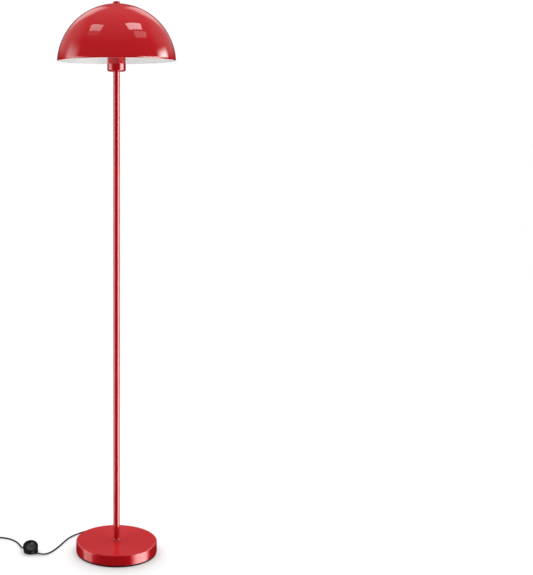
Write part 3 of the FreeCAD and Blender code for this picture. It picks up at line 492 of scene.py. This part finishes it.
# ---- Bulb ------------------------------------------------------------------------------------------
# An E27 LED bulb of the usual pear shape: an opal plastic diffuser on a white plastic housing, with a
# nickel-plated screw cap and a black insulator round its centre contact.
opal = finish_named("opal_diffuser", (0.88, 0.88, 0.86), 0.35, spread=0.02, patch=30, grain_size=1000,
                    grain_depth=0.02, Subsurface_Weight=0.3)
housing_white = finish_named("housing_white", (0.82, 0.82, 0.8), 0.38, spread=0.02, patch=40,
                             grain_size=1200, grain_depth=0.02)
moulded_black = finish_named("moulded_black", (0.009, 0.009, 0.0095), 0.5, spread=0.1, patch=60,
                             grain_size=900, grain_depth=0.06, coarse=0.4, dusty=0.02,
                             Specular_IOR_Level=0.25)
dress(opal, "bulb_globe")
dress(housing_white, "bulb_housing", "bulb_led_board")
dress(nickel, "bulb_cap", "bulb_contact")
dress(moulded_black, "bulb_insulator")


# ---- Shade -----------------------------------------------------------------------------------------
# Nearly a hemisphere, spun from thin steel sheet, gloss red outside and matt white inside. It rests on a
# bent steel strap, and a low round cap nut on top holds it there.
shade_low, shade_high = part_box("shade")
shade_sheet = 0.0012
rim_radius, rim_height = shade_high.x, shade_low.z
shade_rise = shade_high.z - rim_height
shade_sphere = (rim_radius ** 2 + shade_rise ** 2) / (2 * shade_rise)
shade_centre = shade_high.z - shade_sphere
shade_hole = 0.0034


def arc_down(sphere, start_radius, end_height, steps):
    """Points down a sphere's side from a radius near the top to a height."""
    first = math.asin(start_radius / sphere)
    last = math.acos((end_height - shade_centre) / sphere)
    angles = [first + (last - first) * step / steps for step in range(steps + 1)]
    return [Vector((sphere * math.sin(a), shade_centre + sphere * math.cos(a))) for a in angles]


interior_white = finish_named("interior_white", (0.87, 0.87, 0.865), 0.55, spread=0.02, patch=12,
                              grain_size=500, grain_depth=0.01, dusty=0.02)
edge = shade_sheet / 2
dome_steps, lip_steps = 56, 8
outside = arc_down(shade_sphere, shade_hole, rim_height + edge, dome_steps)
inside = arc_down(shade_sphere - shade_sheet, shade_hole, rim_height + edge, dome_steps)
middle = (outside[-1] + inside[-1]) / 2
lip = [middle + Vector((math.cos(a), math.sin(a))) * edge
       for a in (-math.pi * k / lip_steps for k in range(1, lip_steps))]
shade_mesh = turned_mesh(outside + lip + inside[::-1], 256)
outer_skin = 0.4 * shade_sheet       # a face within this of the outer sphere is on the outside
for face in shade_mesh.faces:
    at = face.calc_center_median() - Vector((0, 0, shade_centre))
    face.material_index = 0 if at.length > shade_sphere - outer_skin else 1
shade = piece_from("shade_shell", shade_mesh, lacquer, interior_white, crease=50)
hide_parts("shade")

nut_low, nut_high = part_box("shade_cap_nut")
nut_bore, nut_wall = 0.00305, 0.0015
cap_nut = turned("shade_nut", [
    (nut_bore, nut_low.z, 0),
    (nut_high.x, nut_low.z, 0.0004),
    (nut_high.x, nut_high.z - 0.0002, 0.0026),
    (0, nut_high.z, 0),
    (0, nut_high.z - nut_wall, 0),
    (nut_bore, nut_high.z - nut_wall, 0),
], lacquer, steps=8, segments=96, body="cap_nut")
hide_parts("shade_cap_nut")
dress(zinc, "shade_carrier", "shade_washer", "carrier_stud", "carrier_nut")


# ---- Foot switch -----------------------------------------------------------------------------------
# A round push switch in moulded black plastic, its face leaned towards the front. The button is paler and
# smoother than the case, and two boots hold the cord where it comes in and goes out.
button_plastic = finish_named("button_plastic", (0.05, 0.05, 0.053), 0.28, spread=0.1, patch=120,
                              grain_size=900, grain_depth=0.01)
matt_black = finish_named("matt_black", (0.003, 0.003, 0.0032), 0.6, spread=0.1, patch=60, grain_size=900,
                          grain_depth=0.08, coarse=0.4, Specular_IOR_Level=0.08)
press = next(joint for joint in frame["joints"] if joint["name"] == "button_press")
press_axis = Vector(press["axis"]).normalized()
press_axis *= math.copysign(1, press_axis.z)   # it points up, out of the face

# The lid's face is painted paler in a patch towards the front: a painted sheen of the light it catches,
# mottled like wear. Its rounded edge stays black.
lid_black = finish_named("lid_black", (0.003, 0.003, 0.0032), 0.42, spread=0.1, patch=60, grain_size=900,
                         grain_depth=0.05, coarse=0.4, Specular_IOR_Level=0.1)
tree = lid_black.node_tree
shape = add_node(tree, "NewGeometry")
facing = add_node(tree, "VectorMath", operation="DOT_PRODUCT")
facing.inputs[1].default_value = press_axis
facing_sheen = add_node(tree, "MapRange", From_Min=0.9, From_Max=0.99)
lid_low, lid_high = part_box("switch_lid")
from_box_middle = Vector((0.001, -0.005, 0.002))
sheen_middle = (lid_low + lid_high) / 2 + from_box_middle
inward = add_node(tree, "VectorMath", operation="DISTANCE")
inward.inputs[1].default_value = sheen_middle
patch = add_node(tree, "MapRange", interpolation_type="SMOOTHSTEP", From_Min=0.015, From_Max=0.008)
where = add_node(tree, "Math", operation="MULTIPLY")
sheen_scuffs = add_node(tree, "TexNoise", Scale=90.0, Detail=6.0, Roughness=0.7)
place = add_node(tree, "TexCoord")
paler = add_node(tree, "MapRange", From_Min=0.3, From_Max=0.7, To_Min=0.03, To_Max=0.07)
face_tone = add_node(tree, "CombineXYZ")
sheen_and_wear = add_node(tree, "Mix", data_type="RGBA")
join(tree, shape, "Normal", facing, 0)
join(tree, facing, "Value", facing_sheen, "Value")
join(tree, place, "Object", sheen_scuffs, "Vector")
join(tree, sheen_scuffs, 0, paler, "Value")
for channel in range(3):
    join(tree, paler, 0, face_tone, channel)
shader = tree.nodes["Principled BSDF"]
tree.links.new(shader.inputs["Base Color"].links[0].from_socket, sheen_and_wear.inputs["A"])
join(tree, face_tone, 0, sheen_and_wear, "B")
join(tree, place, "Object", inward, 0)
join(tree, inward, "Value", patch, "Value")
join(tree, facing_sheen, 0, where, 0)
join(tree, patch, 0, where, 1)
join(tree, where, 0, sheen_and_wear, "Factor")
join(tree, sheen_and_wear, "Result", shader, "Base Color")
dress(lid_black, "switch_lid")
dress(matt_black, "switch_body", "switch_frame", "switch_boots")
dress(button_plastic, "switch_button")
dress(brass, "switch_contacts")
dress(lead_blue, "switch_leads")
dress(zinc, "switch_screws")

# A nickel-plated spring of four turns lifts the button.
spring_radius, spring_wire, spring_turns = 0.0026, 0.00035, 4
spring_points = [vertex.co for vertex in cad["switch_spring"].data.vertices]
spring_heights = [point.dot(press_axis) for point in spring_points]
spring_foot, spring_head = min(spring_heights), max(spring_heights)
spring_middle = sum(spring_points, Vector()) / len(spring_points)
spring_base = spring_middle + press_axis * (spring_foot - spring_middle.dot(press_axis))
across = press_axis.orthogonal().normalized()
sideways = press_axis.cross(across)
spring_mesh = bmesh.new()
rings = []
spring_steps, spring_sides = 24 * spring_turns, 8
for step in range(spring_steps + 1):
    turn = 2 * math.pi * spring_turns * step / spring_steps
    outward = across * math.cos(turn) + sideways * math.sin(turn)
    climb = spring_wire + (spring_head - spring_foot - 2 * spring_wire) * step / spring_steps
    centre = spring_base + outward * spring_radius + press_axis * climb
    ring = []
    for k in range(spring_sides):
        at = 2 * math.pi * k / spring_sides
        ring.append(spring_mesh.verts.new(
            centre + spring_wire * (outward * math.cos(at) + press_axis * math.sin(at))))
    rings.append(ring)
for a, b in zip(rings, rings[1:]):
    for k in range(spring_sides):
        after = (k + 1) % spring_sides
        spring_mesh.faces.new((a[k], a[after], b[after], b[k]))
spring_mesh.faces.new(rings[0])
spring_mesh.faces.new(rings[-1])
spring = piece_from("button_spring", spring_mesh, nickel)
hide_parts("switch_spring")
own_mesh(spring)


# ---- Tie and plug ----------------------------------------------------------------------------------
# A black hook-and-loop strap goes round the coil's turns on one side. The cord ends in a flat two-pin plug,
# with a moulded black body and nickel-plated pins.
dress(moulded_black, "cord_tie", "plug_body")
dress(nickel, "plug_pins")


# ---- Floor and light -------------------------------------------------------------------------------
# A plain pale floor in a white tent, brightest overhead and low behind, and dim in front. Mirror
# reflections, matt light and the backdrop each see their own surroundings: the lacquer mirrors soft boxes,
# side walls and ceiling panels.
floor_paint = finish_named("floor_paint", (0.72, 0.72, 0.72), 0.8, spread=0.01, patch=2, grain_size=60,
                           grain_depth=0.01, Emission_Color=(1, 1, 1, 1), Emission_Strength=0.05,
                           Specular_IOR_Level=0.1)
ground = bmesh.new()
bmesh.ops.create_grid(ground, x_segments=1, y_segments=1, size=60)
floor_data = bpy.data.meshes.new("floor")
ground.to_mesh(floor_data)
ground.free()
floor_data.materials.append(floor_paint)
floor = bpy.data.objects.new("floor", floor_data)
scene.collection.objects.link(floor)
floor.visible_glossy = False


ceiling = 3.4


def ceiling_panel(name, x, y, length, width, turn, radiance):
    """A rectangular light that lies flat under the ceiling, turned by degrees from +X."""
    data = bpy.data.lights.new(name, "AREA")
    data.shape = "RECTANGLE"
    data.size, data.size_y = length, width
    data.energy = radiance * math.pi * length * width
    light = bpy.data.objects.new(name, data)
    light.location = (x, y, ceiling)
    light.rotation_euler = (0, 0, math.radians(turn))
    scene.collection.objects.link(light)


ceiling_panel("left_panel_high", x=-1.25, y=-0.40, length=0.94, width=0.62, turn=-44, radiance=3.6)
ceiling_panel("left_panel_low", x=-1.69, y=-0.80, length=1.11, width=0.47, turn=-43, radiance=0.45)
ceiling_panel("right_panel_high", x=1.05, y=-0.38, length=1.03, width=0.62, turn=38, radiance=6.3)
ceiling_panel("right_panel_low", x=1.84, y=-0.86, length=1.18, width=0.80, turn=40, radiance=1.5)

world = bpy.data.worlds.new("room")
world.use_nodes = True
room = world.node_tree
backdrop = room.nodes["Background"]
looks = add_node(room, "TexCoord")
axes = add_node(room, "SeparateXYZ")
forward = add_node(room, "Math", operation="MULTIPLY")
forward.inputs[1].default_value = -1.0
bearing = add_node(room, "Math", operation="ARCTAN2")
degrees = add_node(room, "Math", operation="DEGREES")
join(room, looks, "Generated", axes, 0)
join(room, axes, "Y", forward, 0)
join(room, axes, "X", bearing, 0)
join(room, forward, 0, bearing, 1)
join(room, bearing, 0, degrees, 0)


def around(middle, width, fade):
    """1 over a width of bearing in degrees, 0 in front and 90 on the right, with soft sides."""
    offset = add_node(room, "Math", operation="SUBTRACT")
    offset.inputs[1].default_value = middle
    wrapped = add_node(room, "Math", operation="WRAP")
    wrapped.inputs[1].default_value = 180
    wrapped.inputs[2].default_value = -180
    away = add_node(room, "Math", operation="ABSOLUTE")
    soft = add_node(room, "MapRange", interpolation_type="SMOOTHSTEP", From_Min=width / 2 + fade,
                    From_Max=width / 2)
    join(room, degrees, 0, offset, 0)
    join(room, offset, 0, wrapped, 0)
    join(room, wrapped, 0, away, 0)
    join(room, away, 0, soft, "Value")
    return soft


def band(low_edge, low_full, high_full, high_edge):
    """1 between two heights on the unit sphere, with soft edges."""
    up = add_node(room, "MapRange", interpolation_type="SMOOTHSTEP", From_Min=low_edge, From_Max=low_full)
    down = add_node(room, "MapRange", interpolation_type="SMOOTHSTEP", From_Min=high_edge, From_Max=high_full)
    both = add_node(room, "Math", operation="MULTIPLY")
    join(room, axes, "Z", up, "Value")
    join(room, axes, "Z", down, "Value")
    join(room, up, 0, both, 0)
    join(room, down, 0, both, 1)
    return both


def glow(sideways_shape, upright_shape, strength):
    shaped = add_node(room, "Math", operation="MULTIPLY")
    scaled = add_node(room, "Math", operation="MULTIPLY")
    join(room, sideways_shape, 0, shaped, 0)
    join(room, upright_shape, 0, shaped, 1)
    join(room, shaped, 0, scaled, 0)
    scaled.inputs[1].default_value = strength
    return scaled


def total(first, second):
    added = add_node(room, "Math", operation="ADD")
    join(room, first, 0, added, 0)
    join(room, second, 0, added, 1)
    return added


# Each side has a tall soft box, dimmer near the floor, a smaller one behind it at the shade's height, and a
# window and a pale wall further back.
tall, near_floor = band(-0.4, -0.3, 0.09, 0.19), band(-1.2, -1.1, -0.4, -0.3)
window_height, wall_height = band(0.3, 0.5, 0.66, 0.8), band(0.1, 0.25, 0.6, 0.8)
lights = [
    glow(around(middle=71, width=18, fade=26), tall, 12.0),
    glow(around(middle=74, width=18, fade=26), near_floor, 8.0),
    glow(around(middle=-86, width=10, fade=34), tall, 5.0),
    glow(around(middle=-90, width=22, fade=10), near_floor, 2.2),
    glow(around(middle=103, width=8, fade=16), band(0.08, 0.17, 0.18, 0.37), 11.0),
    glow(around(middle=-98, width=10, fade=18), band(0.06, 0.15, 0.14, 0.52), 3.2),
]
for side in (1, -1):
    lights.append(glow(around(middle=side * 160, width=16, fade=6), window_height, 1.1))
    lights.append(glow(around(middle=side * 128, width=44, fade=25), wall_height, 0.33))
low_wall = add_node(room, "MapRange", From_Min=0.08, From_Max=0.2, To_Min=0.01, To_Max=0.15)
high_wall = add_node(room, "MapRange", From_Min=0.6, From_Max=0.95, To_Min=0.0, To_Max=0.3)
join(room, axes, "Z", low_wall, "Value")
join(room, axes, "Z", high_wall, "Value")
mirrored = total(low_wall, high_wall)
for light in lights:
    mirrored = total(mirrored, light)
overhead = add_node(room, "MapRange", interpolation_type="SMOOTHSTEP", From_Min=-0.1, From_Max=1.0,
                    To_Min=0.12, To_Max=1.3)
join(room, axes, "Z", overhead, "Value")
front_dimming = add_node(room, "MapRange", To_Min=1.15, To_Max=0.8)
tent = add_node(room, "Math", operation="MULTIPLY")
join(room, around(middle=0, width=50, fade=75), 0, front_dimming, "Value")
join(room, overhead, 0, tent, 0)
join(room, front_dimming, 0, tent, 1)
tent = total(tent, glow(around(middle=180, width=60, fade=70), band(0.05, 0.15, 0.4, 0.6), 3.0))
path = add_node(room, "LightPath")
by_gloss = add_node(room, "Mix", data_type="FLOAT")
seen = add_node(room, "Mix", data_type="FLOAT")
backdrop_white = 1.05                # just over white, so that the backdrop has no tone of its own
seen.inputs["B"].default_value = backdrop_white
direct = add_node(room, "Math", operation="GREATER_THAN")   # not by way of a matt surface
direct.inputs[0].default_value = 0.5
join(room, path, "Diffuse Depth", direct, 1)
mirror_ray = add_node(room, "Math", operation="MULTIPLY")
join(room, path, "Is Glossy Ray", mirror_ray, 0)
join(room, direct, 0, mirror_ray, 1)
join(room, mirror_ray, 0, by_gloss, "Factor")
join(room, tent, 0, by_gloss, "A")
join(room, mirrored, 0, by_gloss, "B")
join(room, path, "Is Camera Ray", seen, "Factor")
join(room, by_gloss, 0, seen, "A")
join(room, seen, 0, backdrop, "Strength")
backdrop.inputs["Color"].default_value = (1, 1, 1, 1)
scene.world = world
scene.view_settings.view_transform = "Standard"
